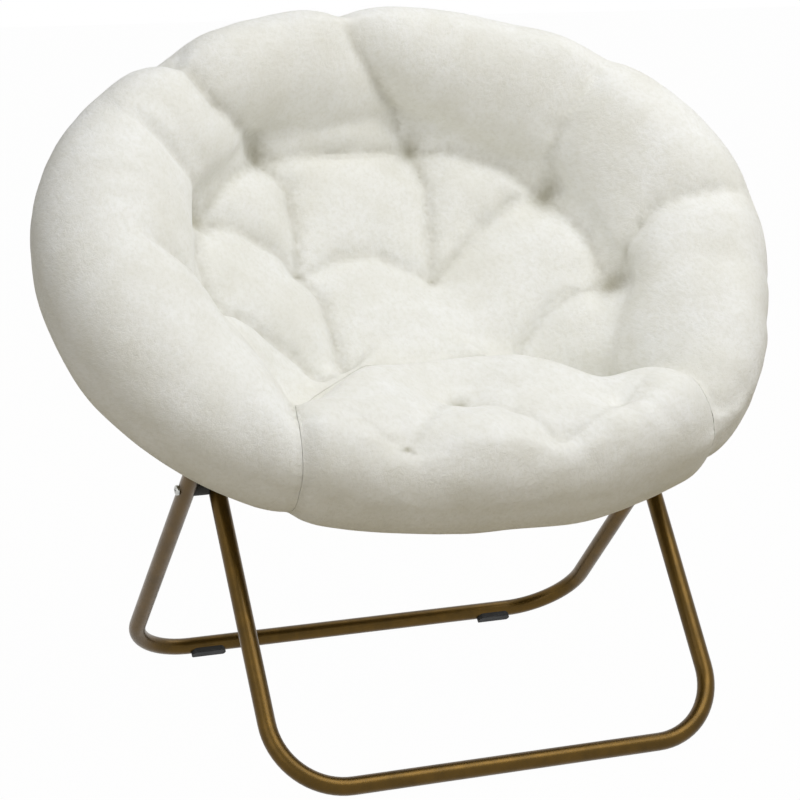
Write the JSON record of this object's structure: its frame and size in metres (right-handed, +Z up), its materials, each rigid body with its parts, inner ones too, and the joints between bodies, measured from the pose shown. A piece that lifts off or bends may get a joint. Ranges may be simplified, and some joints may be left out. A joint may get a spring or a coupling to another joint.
{
  "type": "folding saucer chair",
  "caption": "folding saucer chair with a deep tufted ivory faux-fur bowl cushion sewn over a tilted oval ring, carried by two crossed bronze tube legs",
  "frame": {"origin": "on the floor under the middle of the overall box", "axes": "X across the chair, +Y from the front foot bar to the rear one, so the sitter faces -Y, +Z up"},
  "size_m": [0.9484, 0.6539, 0.8798],
  "materials": {
    "frame_paint": "satin bronze-gold powder coat",
    "screw_chrome": "polished plated steel",
    "zinc_steel": "satin zinc-plated steel",
    "black_plastic": "matt moulded plastic",
    "pad_rubber": "matt soft pads",
    "washer_nylon": "natural nylon",
    "cushion_fur": "short-pile ivory faux fur"
  },
  "bodies": {
    "rear_leg": {"rear_leg_tube": "frame_paint", "rear_foot_pad_left": "pad_rubber", "rear_foot_pad_right": "pad_rubber", "rear_leg_plug_left": "black_plastic", "rear_leg_plug_right": "black_plastic", "cross_bolt_left": "screw_chrome", "cross_bolt_right": "screw_chrome", "cross_spacer_left": "black_plastic", "cross_spacer_right": "black_plastic", "cross_cap_nut_left": "zinc_steel", "cross_cap_nut_right": "zinc_steel"},
    "front_leg": {"front_leg_tube": "frame_paint", "front_foot_pad_left": "pad_rubber", "front_foot_pad_right": "pad_rubber", "front_leg_plug_left": "black_plastic", "front_leg_plug_right": "black_plastic", "rear_bracket_pin_left": "zinc_steel", "rear_bracket_pin_right": "zinc_steel"},
    "front_ring": {"front_ring_tube": "frame_paint", "front_ring_knuckle_left": "zinc_steel", "front_ring_knuckle_right": "zinc_steel", "ring_hinge_washer_left": "washer_nylon", "ring_hinge_washer_right": "washer_nylon", "ring_hinge_rivet_left": "zinc_steel", "ring_hinge_rivet_right": "zinc_steel", "front_ring_bracket_left": "frame_paint", "front_ring_bracket_right": "frame_paint", "front_bracket_rivet_left": "zinc_steel", "front_bracket_rivet_right": "zinc_steel", "seat_cushion": "cushion_fur"},
    "rear_ring": {"rear_ring_tube": "frame_paint", "rear_ring_knuckle_left": "zinc_steel", "rear_ring_knuckle_right": "zinc_steel", "rear_ring_bracket_left": "frame_paint", "rear_ring_bracket_right": "frame_paint", "back_cushion": "cushion_fur"}
  },
  "joints": [
    {"name": "leg_fold", "type": "hinge", "parent": "rear_leg", "child": "front_leg", "pos_m": [0, -0.06759, 0.324], "axis": [1, 0, 0], "range_deg": [0, 70]},
    {"name": "front_ring_swing", "type": "hinge", "parent": "rear_leg", "child": "front_ring", "pos_m": [0, -0.1412, 0.39644], "axis": [1, 0, 0], "range_deg": [-49.35, 0], "deforming": ["seat_cushion", "back_cushion"]},
    {"name": "ring_fold", "type": "hinge", "parent": "front_ring", "child": "rear_ring", "pos_m": [0, -0.10093, 0.45783], "axis": [1, 0, 0], "range_deg": [0, 143.46], "deforming": ["seat_cushion", "back_cushion"]}
  ],
  "couplings": [
    {"joint": "front_ring_swing", "follows": "leg_fold", "ratio": -0.70486},
    {"joint": "ring_fold", "follows": "leg_fold", "ratio": 2.0493}
  ]
}
